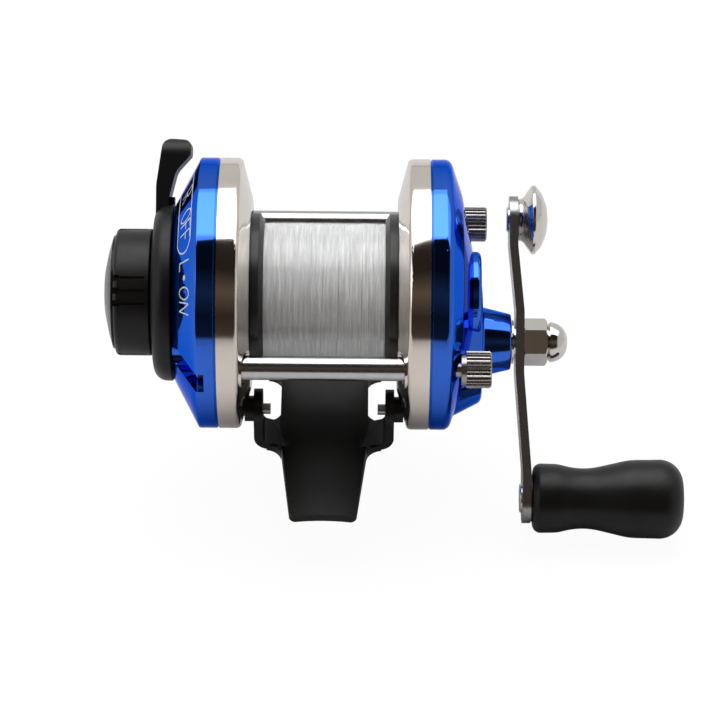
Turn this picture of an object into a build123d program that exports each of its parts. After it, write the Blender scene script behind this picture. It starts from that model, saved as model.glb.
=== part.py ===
"""A small round baitcasting reel, modelled as the pieces it comes apart into.

Millimetres. X is the spool axis, towards the crank. Z is up, away from the rod.
The origin is the middle of the foot's underside.
"""

import os

from build123d import *

# ---------------------------------------------------------------- driving sizes
AXIS_HEIGHT = 32.2  # spool axis above the foot's underside
RIM_RADIUS = 26.0  # both side plates and covers
WALL = 1.1  # wall of the plates and covers
SEAM_X = 20.2  # where each cover meets its plate
PLATE_FACE_X = 14.0  # inner face of each plate, beside the spool
OPENING_RADIUS = 15.9  # hole in each plate that the spool flange turns in
BORE = RIM_RADIUS - WALL  # inside radius of plates and covers
SEAM_BEVEL = 0.25

PILLAR_Y = 21.4  # pillars stand level with the spool axis, behind and ahead
PILLAR_RADIUS = 2.3
PILLAR_END_X = 15.9
STUD_RADIUS = 1.5
STUD_HOLE_RADIUS = 1.57
STUD_END_X = 10.5

FLANGE_RADIUS = 15.5
FLANGE_OUT_X = 14.3
FLANGE_IN_X = 11.6
ARBOR_RADIUS = 6.0
LINE_RADIUS = 13.6
SHAFT_RADIUS = 1.5

BEARING_RADIUS = 4.0
BEARING_WIDTH = 3.0
BEARING_X = 16.2  # inner face of each bearing
BEARING_PLATE_X = 15.1  # back of the plate's flat lip
BEARING_PLATE_THICKNESS = 1.2
BEARING_PLATE_RADIUS = 17.5

MODULE = 0.5
PINION_TEETH = 12
GEAR_TEETH = 36
DRIVE_DROP = MODULE * (PINION_TEETH + GEAR_TEETH) / 2  # drive shaft below the spool axis
DRIVE_Z = AXIS_HEIGHT - DRIVE_DROP
PINION_X = (20.4, 27.2)
GEAR_X = (22.2, 24.8)
RATCHET_X = (18.0, 19.6)
RATCHET_RADIUS = 5.15
RATCHET_ROOT = 4.7
RATCHET_TEETH = 12

DRIVE_RADIUS = 2.5
HOUSING_TOP_X = 30.5
TOWER_TOP_X = 36.2
BUSHING_RADIUS = 4.0

ARM_THICKNESS = 1.65
ARM_WIDTH = 9.5
ARM_HUB_X = 37.05
ARM_KNOB_X = 38.65
ARM_WEIGHT_X = 35.7
KNOB_REACH = 30.4  # knob axis from the drive axis
WEIGHT_REACH = 23.8
NUT_FLATS = 8.0
NUT_HEX_HEIGHT = 4.6
NUT_END_X = 47.2
KNOB_X = (40.7, 70.0)
KNOB_PIN_RADIUS = 1.75
CRANK_ANGLE = 48.0  # crank below the level, behind the reel

COVER_END_X = 28.6
LEVER_HUB_RADIUS = 6.8
LEVER_RING_RADIUS = 17.0
LEVER_RING_X = (28.9, 32.8)
LEVER_REACH = 29.0
LEVER_ANGLE = 48.0  # lever above the level, ahead of the reel
STEM_RADIUS = 3.0
BRAKE_KNOB_RADIUS = 12.2
BRAKE_KNOB_X = (33.1, 40.0)
SLOT_HALF_WIDTH = 2.2
SLOT_FLOOR_X = 22.3

FOOT_LENGTH = 60.0
FOOT_WIDTH = 17.2
FOOT_TIP_WIDTH = 12.8
FOOT_TIP_THICKNESS = 2.1
FOOT_TOP = 6.2
EAR_Y = 10.0
EAR_Z = 11.2
EAR_RADIUS = 3.9
EAR_X = (11.9, 13.6)

RUN = 0.05  # radial clearance of a running fit
GAP = 0.3  # clearance between pieces that move past each other

os.makedirs("parts", exist_ok=True)

# ------------------------------------------------------------- planes and tools
SPOOL_AXIS = Axis((0, 0, AXIS_HEIGHT), (1, 0, 0))
DRIVE_AXIS = Axis((0, 0, DRIVE_Z), (1, 0, 0))


def section(y=0, z=AXIS_HEIGHT, angle=0):
    """The plane through an axis along X: local x is X, local y leaves the axis."""
    upright = Plane(origin=(0, y, z), x_dir=(1, 0, 0), z_dir=(0, -1, 0))
    return upright.rotated((angle, 0, 0))


def across(x, y=0, z=AXIS_HEIGHT):
    """A plane across X: local x is Y and local y is Z."""
    return Plane(origin=(x, y, z), x_dir=(0, 1, 0), z_dir=(1, 0, 0))


def outline(corners, plane):
    """A closed outline on a plane. A corner is (x, y) or (x, y, fillet radius)."""
    points = [corner[:2] for corner in corners]
    radii = [corner[2] if len(corner) > 2 else 0 for corner in corners]
    with BuildSketch(plane) as drawn:
        with BuildLine():
            FilletPolyline(*points, radius=radii, close=True)
        make_face()
    return drawn.sketch


def mirrored(corners, side):
    """The same outline on the crank side (1) or on the other side (-1)."""
    return [(side * corner[0], *corner[1:]) for corner in corners]


def rod_between(start_x, end_x, radius, y=0, z=AXIS_HEIGHT, inner=0):
    """A round bar or tube along X."""
    with BuildSketch(across(start_x, y, z)) as ends:
        Circle(radius)
        if inner:
            Circle(inner, mode=Mode.SUBTRACT)
    return extrude(ends.sketch, end_x - start_x, mode=Mode.PRIVATE)


def save(part, name):
    """Label a finished piece and write it out."""
    part.label = name
    export_step(part, f"parts/{name}.step")


# ----------------------------------------------------------------- frame plates
PLATE_OUTLINE = [
    (PLATE_FACE_X, OPENING_RADIUS),
    (PLATE_FACE_X, 18.4, 2.0),
    (16.0, RIM_RADIUS, 1.0),
    (SEAM_X - SEAM_BEVEL, RIM_RADIUS),
    (SEAM_X, RIM_RADIUS - SEAM_BEVEL),
    (SEAM_X, BORE),
    (16.85, BORE),
    (BEARING_PLATE_X, 18.2, 1.0),
    (BEARING_PLATE_X, OPENING_RADIUS),
]
PLATE_SCREW_RADIUS = 16.6
POCKET_RADIUS = 3.4
BOSS_RADIUS = 3.75


def frame_plate(side):
    """The dished plate beside the spool, with seats for the pillars and the foot."""
    with BuildPart() as plate:
        revolve(outline(mirrored(PLATE_OUTLINE, side), section()), axis=SPOOL_AXIS)
        for y in (-PILLAR_Y, PILLAR_Y):
            add(rod_between(side * (PILLAR_END_X - 0.6), side * SEAM_X, BOSS_RADIUS, y))
            pocket = rod_between(side * 10, side * PILLAR_END_X, POCKET_RADIUS, y)
            add(pocket, mode=Mode.SUBTRACT)
            hole = rod_between(side * 10, side * 21, STUD_HOLE_RADIUS, y)
            add(hole, mode=Mode.SUBTRACT)
        for y in (-EAR_Y, EAR_Y):
            add(rod_between(side * 15.4, side * 16.6, 1.5, y, EAR_Z))
            add(rod_between(side * 12, side * 15.4, 2.7, y, EAR_Z), mode=Mode.SUBTRACT)
            add(rod_between(side * 12, side * 18, 1.05, y, EAR_Z), mode=Mode.SUBTRACT)
        with BuildSketch(across(side * 12)):
            with PolarLocations(PLATE_SCREW_RADIUS, 3, start_angle=30):
                Circle(0.5)
        extrude(amount=side * 6, mode=Mode.SUBTRACT)
        inside = rod_between(side * 10, side * 22, RIM_RADIUS)
        add(inside, mode=Mode.INTERSECT)
    return plate.part


left_frame_plate = frame_plate(-1)
right_frame_plate = frame_plate(1)
save(left_frame_plate, "left_frame_plate")
save(right_frame_plate, "right_frame_plate")

# --------------------------------------------------- bearing plates and bearings
HUB_RADIUS = 5.4
PAWL_Y = 9.6
PAWL_Z = DRIVE_Z + 2.6
PAWL_POST_RADIUS = 0.8


def bearing_plate(side):
    """A disc on the back of the plate's lip, whose hub holds the spool's bearing."""
    back = side * (BEARING_PLATE_X + BEARING_PLATE_THICKNESS)
    with BuildPart() as carrier:
        add(rod_between(side * BEARING_PLATE_X, back, BEARING_PLATE_RADIUS))
        for y in (-PILLAR_Y, PILLAR_Y):
            clear = rod_between(side * 15, side * 17, BOSS_RADIUS + GAP, y)
            add(clear, mode=Mode.SUBTRACT)
        add(rod_between(side * BEARING_PLATE_X, side * (BEARING_X + BEARING_WIDTH), HUB_RADIUS))
        if side > 0:
            add(rod_between(BEARING_PLATE_X, 17.5, 3.6, z=DRIVE_Z))
            add(rod_between(BEARING_PLATE_X, 17.5, 2.0 + RUN, z=DRIVE_Z), mode=Mode.SUBTRACT)
            add(rod_between(BEARING_PLATE_X, 20.4, PAWL_POST_RADIUS, PAWL_Y, PAWL_Z))
        add(rod_between(side * 15, side * BEARING_X, 2.4), mode=Mode.SUBTRACT)
        add(rod_between(side * BEARING_X, side * 20, BEARING_RADIUS), mode=Mode.SUBTRACT)
        with BuildSketch(across(side * 15)):
            with PolarLocations(PLATE_SCREW_RADIUS, 3, start_angle=30):
                Circle(0.65)
        extrude(amount=side * 3, mode=Mode.SUBTRACT)
    return carrier.part


save(bearing_plate(-1), "left_bearing_plate")
save(bearing_plate(1), "right_bearing_plate")


def bearing(side):
    """A shielded ball bearing: two rings with a recessed shield on each face."""
    inner_face = BEARING_X
    outer_face = BEARING_X + BEARING_WIDTH
    corners = [
        (inner_face, SHAFT_RADIUS),
        (inner_face, 2.1),
        (inner_face + 0.15, 2.1),
        (inner_face + 0.15, 3.4),
        (inner_face, 3.4),
        (inner_face, BEARING_RADIUS, 0.2),
        (outer_face, BEARING_RADIUS, 0.2),
        (outer_face, 3.4),
        (outer_face - 0.15, 3.4),
        (outer_face - 0.15, 2.1),
        (outer_face, 2.1),
        (outer_face, SHAFT_RADIUS),
    ]
    with BuildPart() as ring:
        opened = [(x, max(r[0], SHAFT_RADIUS + RUN), *r[1:]) for x, *r in corners]
        revolve(outline(mirrored(opened, side), section()), axis=SPOOL_AXIS)
    return ring.part


save(bearing(-1), "left_bearing")
save(bearing(1), "right_bearing")

with BuildPart() as bearing_plate_screws:
    back_x = BEARING_PLATE_X + BEARING_PLATE_THICKNESS
    for side in (-1, 1):
        with BuildSketch(across(side * (PLATE_FACE_X + 0.2))):
            with PolarLocations(PLATE_SCREW_RADIUS, 3, start_angle=30):
                Circle(0.5)
        extrude(amount=side * (back_x - PLATE_FACE_X - 0.2))
        with BuildSketch(across(side * back_x)):
            with PolarLocations(PLATE_SCREW_RADIUS, 3, start_angle=30):
                Circle(0.9)
        extrude(amount=side * 0.7)
save(bearing_plate_screws.part, "bearing_plate_screws")

# ---------------------------------------------------------------------- pillars


def pillar(y):
    """A polished tie bar between the plates, tapped at both ends."""
    with BuildPart() as bar:
        add(rod_between(-PILLAR_END_X, PILLAR_END_X, PILLAR_RADIUS, y))
        chamfer(bar.edges().filter_by(GeomType.CIRCLE), 0.2)
        for side in (-1, 1):
            tapped = rod_between(side * STUD_END_X - side, side * 17, STUD_HOLE_RADIUS, y)
            add(tapped, mode=Mode.SUBTRACT)
    return bar.part


save(pillar(-PILLAR_Y), "rear_pillar")
save(pillar(PILLAR_Y), "front_pillar")

# ------------------------------------------------------------------- left cover
LEFT_COVER_OUTLINE = [
    (SEAM_X, RIM_RADIUS - SEAM_BEVEL),
    (SEAM_X + SEAM_BEVEL, RIM_RADIUS),
    (23.8, RIM_RADIUS, 0.5),
    (COVER_END_X, 17.0, 0.8),
    (COVER_END_X, LEVER_HUB_RADIUS + RUN),
    (COVER_END_X - WALL, LEVER_HUB_RADIUS + RUN),
    (COVER_END_X - WALL, 16.7, 0.5),
    (23.2, BORE, 0.5),
    (SEAM_X, BORE),
]
LEFT_SOLID_OUTLINE = LEFT_COVER_OUTLINE[:4] + [(COVER_END_X, 0), (SEAM_X, 0)]

with BuildPart() as left_solid:
    revolve(outline(mirrored(LEFT_SOLID_OUTLINE, -1), section()), axis=SPOOL_AXIS)

with BuildPart() as left_cover:
    revolve(outline(mirrored(LEFT_COVER_OUTLINE, -1), section()), axis=SPOOL_AXIS)
    for side in (-1, 1):
        # A walled slot lets a driver reach the screw in the end of each pillar.
        with BuildSketch(across(-SEAM_X)):
            with Locations((side * 24.2, 0)):
                RectangleRounded(17.0, 2 * (SLOT_HALF_WIDTH + WALL), SLOT_HALF_WIDTH + 0.8)
        extrude(amount=SEAM_X - COVER_END_X)
    add(left_solid.part, mode=Mode.INTERSECT)
    for side in (-1, 1):
        with BuildSketch(across(-SLOT_FLOOR_X)):
            with Locations((side * 24.2, 0)):
                RectangleRounded(14.6, 2 * SLOT_HALF_WIDTH, SLOT_HALF_WIDTH - 0.1)
        extrude(amount=SLOT_FLOOR_X - 30, mode=Mode.SUBTRACT)
        hole = rod_between(-SEAM_X, -SLOT_FLOOR_X, STUD_HOLE_RADIUS, side * PILLAR_Y)
        add(hole, mode=Mode.SUBTRACT)
save(left_cover.part, "left_cover")

with BuildPart() as left_pillar_screws:
    for y in (-PILLAR_Y, PILLAR_Y):
        add(rod_between(-SLOT_FLOOR_X, -STUD_END_X, STUD_RADIUS, y))
        with BuildPart(mode=Mode.PRIVATE) as head:
            add(rod_between(-SLOT_FLOOR_X - 1.5, -SLOT_FLOOR_X, 2.0, y))
            top = head.faces().sort_by(Axis.X)[0]
            fillet(top.edges(), 0.4)
            with BuildSketch(across(-SLOT_FLOOR_X - 1.5, y)):
                Rectangle(2.2, 0.5)
                Rectangle(0.5, 2.2)
            extrude(amount=0.8, mode=Mode.SUBTRACT)
        add(head.part)
save(left_pillar_screws.part, "left_pillar_screws")

# ------------------------------------------------------------------ right cover
RIGHT_OUTER = [
    (SEAM_X, RIM_RADIUS - SEAM_BEVEL),
    (SEAM_X + SEAM_BEVEL, RIM_RADIUS),
    (23.9, RIM_RADIUS, 1.6),
    (26.2, 19.4, 12.0),
    (28.5, 8.0),
    (28.5, 0),
]
RIGHT_HOLLOW = [
    (SEAM_X - 1, 0),
    (SEAM_X - 1, BORE),
    (22.9, BORE, 0.6),
    (25.05, 19.1, 11.0),
    (27.3, 8.0),
    (27.3, 0),
]
HOUSING_CONE = [(21.5, 0), (21.5, 16.4), (HOUSING_TOP_X, 11.7, 1.4), (HOUSING_TOP_X, 0)]
HOUSING_HOLLOW = [(19, 0), (19, 16.3), (HOUSING_TOP_X - 1.2, 10.9, 1.0), (HOUSING_TOP_X - 1.2, 0)]
TOWER = [
    (HOUSING_TOP_X - 0.6, 0),
    (HOUSING_TOP_X - 0.6, 7.8),
    (HOUSING_TOP_X + 0.3, 6.7, 0.5),
    (TOWER_TOP_X, 5.4, 0.5),
    (TOWER_TOP_X, 0),
]
CAP_RADIUS = 8.3
CAP_TOP_X = 30.0
SCREW_SEAT_X = 25.9
SCREW_BOSS_RADIUS = 3.8

with BuildPart() as housing:
    revolve(outline(HOUSING_CONE, section(z=DRIVE_Z)), axis=DRIVE_AXIS)
    add(rod_between(21.5, HOUSING_TOP_X + 1, BORE + 0.9), mode=Mode.INTERSECT)

with BuildPart() as cap:
    add(rod_between(26.5, CAP_TOP_X, CAP_RADIUS))
    fillet(cap.faces().sort_by(Axis.X)[-1].edges(), 0.9)

with BuildPart() as cavity:
    revolve(outline(HOUSING_HOLLOW, section(z=DRIVE_Z)), axis=DRIVE_AXIS)
    add(rod_between(19, HOUSING_TOP_X, BORE - 0.1), mode=Mode.INTERSECT)
    revolve(outline(RIGHT_HOLLOW, section()), axis=SPOOL_AXIS)
    add(rod_between(SEAM_X, CAP_TOP_X - 1.2, CAP_RADIUS - 1.2))
    for y in (-PILLAR_Y, PILLAR_Y):
        add(rod_between(18, 33, SCREW_BOSS_RADIUS, y), mode=Mode.SUBTRACT)

with BuildPart() as right_cover:
    revolve(outline(RIGHT_OUTER + [(SEAM_X, 0)], section()), axis=SPOOL_AXIS)
    add(cap.part)
    add(housing.part)
    for y in (-PILLAR_Y, PILLAR_Y):
        add(rod_between(SCREW_SEAT_X, 33, SCREW_BOSS_RADIUS + 0.4, y), mode=Mode.SUBTRACT)
    revolve(outline(TOWER, section(z=DRIVE_Z)), axis=DRIVE_AXIS)
    add(cavity.part, mode=Mode.SUBTRACT)
    for y in (-PILLAR_Y, PILLAR_Y):
        add(rod_between(19, 27, STUD_HOLE_RADIUS, y), mode=Mode.SUBTRACT)
    add(rod_between(25, 37, BUSHING_RADIUS, z=DRIVE_Z), mode=Mode.SUBTRACT)
save(right_cover.part, "right_cover")

with BuildPart() as crank_bushing:
    add(rod_between(HOUSING_TOP_X - 1.2, TOWER_TOP_X, BUSHING_RADIUS, z=DRIVE_Z, inner=DRIVE_RADIUS + RUN))
save(crank_bushing.part, "crank_bushing")

# ------------------------------------------------------------------ thumbscrews
THUMB_RADIUS = 3.475
THUMB_END_X = 31.6
THUMB_COLLAR_X = 26.9
THUMB_TEETH = 28


def thumbscrew(y):
    """A knurled screw that clamps cover, plate and pillar, and comes off by hand."""
    face_x = SCREW_SEAT_X + RUN
    with BuildPart() as screw:
        add(rod_between(STUD_END_X, face_x, STUD_RADIUS, y))
        add(rod_between(face_x, THUMB_COLLAR_X, 2.95, y))
        with BuildSketch(across(THUMB_COLLAR_X, y)):
            Circle(THUMB_RADIUS)
            with PolarLocations(THUMB_RADIUS, THUMB_TEETH):
                RegularPolygon(0.3, 4, rotation=0, mode=Mode.SUBTRACT)
        extrude(amount=THUMB_END_X - THUMB_COLLAR_X)
        with BuildPart(mode=Mode.PRIVATE) as envelope:
            add(rod_between(STUD_END_X - 1, THUMB_END_X, THUMB_RADIUS, y))
            chamfer(envelope.faces().sort_by(Axis.X)[-1].edges(), 0.35)
        add(envelope.part, mode=Mode.INTERSECT)
    return screw.part


save(thumbscrew(-PILLAR_Y), "rear_thumbscrew")
save(thumbscrew(PILLAR_Y), "front_thumbscrew")

# ------------------------------------------------------------ spool, line, shaft
SPOOL_OUTLINE = [
    (-FLANGE_OUT_X, SHAFT_RADIUS),
    (-FLANGE_OUT_X, 3.0),
    (-FLANGE_OUT_X + 0.9, 3.6),
    (-FLANGE_OUT_X + 0.9, 13.2, 0.4),
    (-FLANGE_OUT_X, 13.9),
    (-FLANGE_OUT_X, FLANGE_RADIUS, 0.3),
    (-FLANGE_IN_X - 0.8, FLANGE_RADIUS, 0.2),
    (-FLANGE_IN_X, FLANGE_RADIUS - 1.4),
    (-FLANGE_IN_X, ARBOR_RADIUS),
    (FLANGE_IN_X, ARBOR_RADIUS),
    (FLANGE_IN_X, FLANGE_RADIUS - 1.4),
    (FLANGE_IN_X + 0.8, FLANGE_RADIUS, 0.2),
    (FLANGE_OUT_X, FLANGE_RADIUS, 0.3),
    (FLANGE_OUT_X, 13.9),
    (FLANGE_OUT_X - 0.9, 13.2, 0.4),
    (FLANGE_OUT_X - 0.9, 3.6),
    (FLANGE_OUT_X, 3.0),
    (FLANGE_OUT_X, SHAFT_RADIUS),
]
with BuildPart() as spool:
    revolve(outline(SPOOL_OUTLINE, section()), axis=SPOOL_AXIS)
save(spool.part, "spool")

with BuildPart() as fishing_line:
    add(rod_between(-FLANGE_IN_X, FLANGE_IN_X, LINE_RADIUS, inner=ARBOR_RADIUS))
save(fishing_line.part, "fishing_line")

SHAFT_LEFT_X = -22.9
with BuildPart() as spool_shaft:
    add(rod_between(SHAFT_LEFT_X, PINION_X[1], SHAFT_RADIUS))
    chamfer(spool_shaft.edges().filter_by(GeomType.CIRCLE), 0.25)
save(spool_shaft.part, "spool_shaft")

# ------------------------------------------------------------------------ gears


def toothed(teeth, phase):
    """The outline of a small spur gear, drawn on the current plane's YZ axes."""
    pitch = MODULE * teeth / 2
    root = pitch - 1.25 * MODULE
    with BuildSketch() as wheel:
        Circle(root)
        with PolarLocations(pitch, teeth, start_angle=phase):
            with BuildLine():
                Polyline(
                    (-1.5 * MODULE, -1.1 * MODULE),
                    (0, -0.72 * MODULE),
                    (MODULE, -0.3 * MODULE),
                    (MODULE, 0.3 * MODULE),
                    (0, 0.72 * MODULE),
                    (-1.5 * MODULE, 1.1 * MODULE),
                    close=True,
                )
            make_face()
    return wheel.sketch


with BuildPart() as pinion:
    # A tooth gap points straight down at the main gear.
    with BuildSketch(across(PINION_X[0])):
        add(toothed(PINION_TEETH, 270 + 180 / PINION_TEETH))
    extrude(amount=PINION_X[1] - PINION_X[0])
    add(rod_between(PINION_X[0] - 0.9, PINION_X[0], 2.1))
    add(rod_between(19, 28, SHAFT_RADIUS), mode=Mode.SUBTRACT)
save(pinion.part, "pinion")

with BuildPart() as main_gear:
    # A tooth points straight up at the pinion.
    with BuildSketch(across(GEAR_X[0], z=DRIVE_Z)):
        add(toothed(GEAR_TEETH, 90))
        with PolarLocations(5.6, 6):
            Circle(1.2, mode=Mode.SUBTRACT)
    extrude(amount=GEAR_X[1] - GEAR_X[0])
    add(rod_between(GEAR_X[0] - 1.2, GEAR_X[0], 3.6, z=DRIVE_Z))
    add(rod_between(20, 26, DRIVE_RADIUS, z=DRIVE_Z), mode=Mode.SUBTRACT)
save(main_gear.part, "main_gear")

# ------------------------------------------------- drive shaft and anti-reverse
DRIVE_STUB_X = 15.4
DRIVE_END_X = 45.0
with BuildPart() as drive_shaft:
    add(rod_between(DRIVE_STUB_X, RATCHET_X[0] - GAP, 2.0, z=DRIVE_Z))
    add(rod_between(RATCHET_X[0] - GAP, DRIVE_END_X, DRIVE_RADIUS, z=DRIVE_Z))
save(drive_shaft.part, "drive_shaft")

with BuildPart() as ratchet_wheel:
    with BuildSketch(across(RATCHET_X[0], z=DRIVE_Z)):
        Circle(RATCHET_ROOT)
        with PolarLocations(RATCHET_ROOT - 0.3, RATCHET_TEETH, start_angle=15):
            Polygon((0, -1.3), (RATCHET_RADIUS - RATCHET_ROOT + 0.3, 0.55), (0, 0.55), align=None)
    extrude(amount=RATCHET_X[1] - RATCHET_X[0])
    add(rod_between(RATCHET_X[1], GEAR_X[0] - 1.2, 3.4, z=DRIVE_Z))
    add(rod_between(17, 23, DRIVE_RADIUS, z=DRIVE_Z), mode=Mode.SUBTRACT)
save(ratchet_wheel.part, "ratchet_wheel")

PAWL_TIP = (5.15, 0.5)  # from the drive axis, just clear of the teeth
with BuildPart() as pawl:
    with BuildSketch(across(RATCHET_X[0], PAWL_Y, PAWL_Z)):
        Circle(1.7)
        with BuildLine():
            Polyline(
                (0.2, 1.6),
                (PAWL_TIP[0] + 0.5 - PAWL_Y, DRIVE_Z + PAWL_TIP[1] + 1.0 - PAWL_Z),
                (PAWL_TIP[0] + 0.1 - PAWL_Y, DRIVE_Z + PAWL_TIP[1] - PAWL_Z),
                (0.9, -1.4),
                close=True,
            )
        make_face()
        Circle(PAWL_POST_RADIUS + RUN, mode=Mode.SUBTRACT)
    extrude(amount=1.4)
save(pawl.part, "pawl")

SPRING_WIRE = 0.16
with BuildPart() as pawl_spring:
    # Two flat turns about the post; the leg rests above the pawl.
    spring_x = RATCHET_X[0] + 1.4 + 0.25
    add(rod_between(spring_x, spring_x + 0.5, 1.4, PAWL_Y, PAWL_Z, inner=PAWL_POST_RADIUS))
    with BuildSketch(across(spring_x, PAWL_Y, PAWL_Z)):
        with Locations((1.2, 2.4)):
            Rectangle(2 * SPRING_WIRE, 4.4)
    extrude(amount=2 * SPRING_WIRE)
save(pawl_spring.part, "pawl_spring")

# ------------------------------------------------------------------- crank parts
CRANK_SECTION = section(z=DRIVE_Z, angle=90 + CRANK_ANGLE)
CRANK_SIDE = Vector(0, -1, 0).rotate(Axis.X, CRANK_ANGLE)


def crank_point(reach):
    """Y and Z of a point this far along the crank; negative is the weight's end."""
    spot = Vector(0, 0, DRIVE_Z) + CRANK_SIDE * reach
    return spot.Y, spot.Z


with BuildPart() as crank_washer:
    washer_x = TOWER_TOP_X + 0.15
    add(rod_between(washer_x, ARM_HUB_X - 0.35, 4.3, z=DRIVE_Z, inner=DRIVE_RADIUS))
    add(rod_between(ARM_HUB_X - 0.35, ARM_HUB_X, 3.4, z=DRIVE_Z, inner=DRIVE_RADIUS))
save(crank_washer.part, "crank_washer")

ARM_END = (35.3, -28.4)  # both ends of the arm from the drive axis
ARM_PATH = [
    (ARM_WEIGHT_X, ARM_END[1]),
    (ARM_WEIGHT_X, -18.8, 10.0),
    (ARM_HUB_X, -6.0, 10.0),
    (ARM_HUB_X, 6.0, 10.0),
    (ARM_KNOB_X, 25.0, 10.0),
    (ARM_KNOB_X, ARM_END[0]),
]
with BuildPart() as handle_arm:
    back = [(x + ARM_THICKNESS, *rest) for x, *rest in reversed(ARM_PATH)]
    extrude(outline(ARM_PATH + back, CRANK_SECTION), ARM_WIDTH / 2, both=True)
    with BuildSketch(across(30, *crank_point(sum(ARM_END) / 2))):
        SlotOverall(ARM_END[0] - ARM_END[1], ARM_WIDTH, rotation=180 + CRANK_ANGLE)
    extrude(amount=15, mode=Mode.INTERSECT)
    add(rod_between(30, 45, DRIVE_RADIUS, z=DRIVE_Z), mode=Mode.SUBTRACT)
    add(rod_between(30, 45, KNOB_PIN_RADIUS, *crank_point(KNOB_REACH)), mode=Mode.SUBTRACT)
    add(rod_between(30, 45, 1.6, *crank_point(-WEIGHT_REACH)), mode=Mode.SUBTRACT)
save(handle_arm.part, "handle_arm")

NUT_X = ARM_HUB_X + ARM_THICKNESS
NUT_DOME_RADIUS = 3.9
with BuildPart() as handle_nut:
    with BuildSketch(across(NUT_X, z=DRIVE_Z)):
        RegularPolygon(NUT_FLATS / 2, 6, major_radius=False, rotation=CRANK_ANGLE)
    extrude(amount=NUT_HEX_HEIGHT)
    nut_shape = [
        (NUT_X, 0),
        (NUT_X, 4.15),
        (NUT_X + 0.35, 4.7),
        (NUT_X + NUT_HEX_HEIGHT - 0.5, 4.7),
        (NUT_X + NUT_HEX_HEIGHT, 3.95),
        (NUT_X + NUT_HEX_HEIGHT, 0),
    ]
    revolve(outline(nut_shape, section(z=DRIVE_Z)), axis=DRIVE_AXIS, mode=Mode.INTERSECT)
    dome_shape = [
        (NUT_X + NUT_HEX_HEIGHT, 0),
        (NUT_X + NUT_HEX_HEIGHT, 3.3),
        (NUT_X + NUT_HEX_HEIGHT + 0.5, NUT_DOME_RADIUS),
        (NUT_END_X, NUT_DOME_RADIUS, NUT_END_X - NUT_X - NUT_HEX_HEIGHT - 0.55),
        (NUT_END_X, 0),
    ]
    revolve(outline(dome_shape, section(z=DRIVE_Z)), axis=DRIVE_AXIS)
    bore = rod_between(NUT_X, DRIVE_END_X + 0.2, DRIVE_RADIUS, z=DRIVE_Z)
    add(bore, mode=Mode.SUBTRACT)
save(handle_nut.part, "handle_nut")

WEIGHT_X = ARM_WEIGHT_X + ARM_THICKNESS
WEIGHT_OUTLINE = [
    (WEIGHT_X, 0),
    (WEIGHT_X, 4.0, 0.3),
    (WEIGHT_X + 1.0, 4.2, 1.0),
    (WEIGHT_X + 2.7, 6.7, 0.4),
    (WEIGHT_X + 3.3, 6.75, 0.4),
    (WEIGHT_X + 4.6, 5.3, 3.0),
    (WEIGHT_X + 5.6, 2.8, 6.0),
    (WEIGHT_X + 5.9, 0),
]
with BuildPart() as counterweight:
    y, z = crank_point(-WEIGHT_REACH)
    axis = Axis((0, y, z), (1, 0, 0))
    revolve(outline(WEIGHT_OUTLINE, section(y, z)), axis=axis)
    add(rod_between(WEIGHT_X, WEIGHT_X + 2.5, 1.6, y, z), mode=Mode.SUBTRACT)
save(counterweight.part, "counterweight")


def rivet(reach, head_x, shank_end_x, shank_radius, head_radius):
    """A pin with a low domed head on the arm's inner face."""
    y, z = crank_point(reach)
    head = [
        (head_x - 0.5, 0),
        (head_x - 0.5, head_radius, 0.4),
        (head_x, head_radius),
        (head_x, 0),
    ]
    with BuildPart() as pin:
        add(rod_between(head_x, shank_end_x, shank_radius, y, z))
        revolve(outline(head, section(y, z)), axis=Axis((0, y, z), (1, 0, 0)))
    return pin.part


save(rivet(-WEIGHT_REACH, ARM_WEIGHT_X, WEIGHT_X + 2.5, 1.6, 2.5), "counterweight_rivet")

with BuildPart() as knob_pin:
    add(rivet(KNOB_REACH, ARM_KNOB_X, 66.0, KNOB_PIN_RADIUS, 2.9))
    y, z = crank_point(KNOB_REACH)
    add(rod_between(66.0, 66.8, 3.0, y, z))
save(knob_pin.part, "knob_pin")

with BuildPart() as knob_collar:
    y, z = crank_point(KNOB_REACH)
    add(rod_between(ARM_KNOB_X + ARM_THICKNESS, KNOB_X[0] - 0.1, 4.6, y, z, inner=KNOB_PIN_RADIUS))
save(knob_collar.part, "knob_collar")

KNOB_OUTLINE = [
    (KNOB_X[0], 0),
    (KNOB_X[0], 6.8, 1.6),
    (45.5, 6.7, 8.0),
    (50.5, 5.5, 14.0),
    (59.5, 7.6, 14.0),
    (KNOB_X[1], 7.8, 4.6),
    (KNOB_X[1], 0),
]
with BuildPart() as handle_knob:
    y, z = crank_point(KNOB_REACH)
    revolve(outline(KNOB_OUTLINE, section(y, z)), axis=Axis((0, y, z), (1, 0, 0)))
    add(rod_between(40, 66.9, KNOB_PIN_RADIUS + RUN, y, z), mode=Mode.SUBTRACT)
    add(rod_between(65.9, 67.0, 3.1, y, z), mode=Mode.SUBTRACT)
save(handle_knob.part, "handle_knob")

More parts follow.
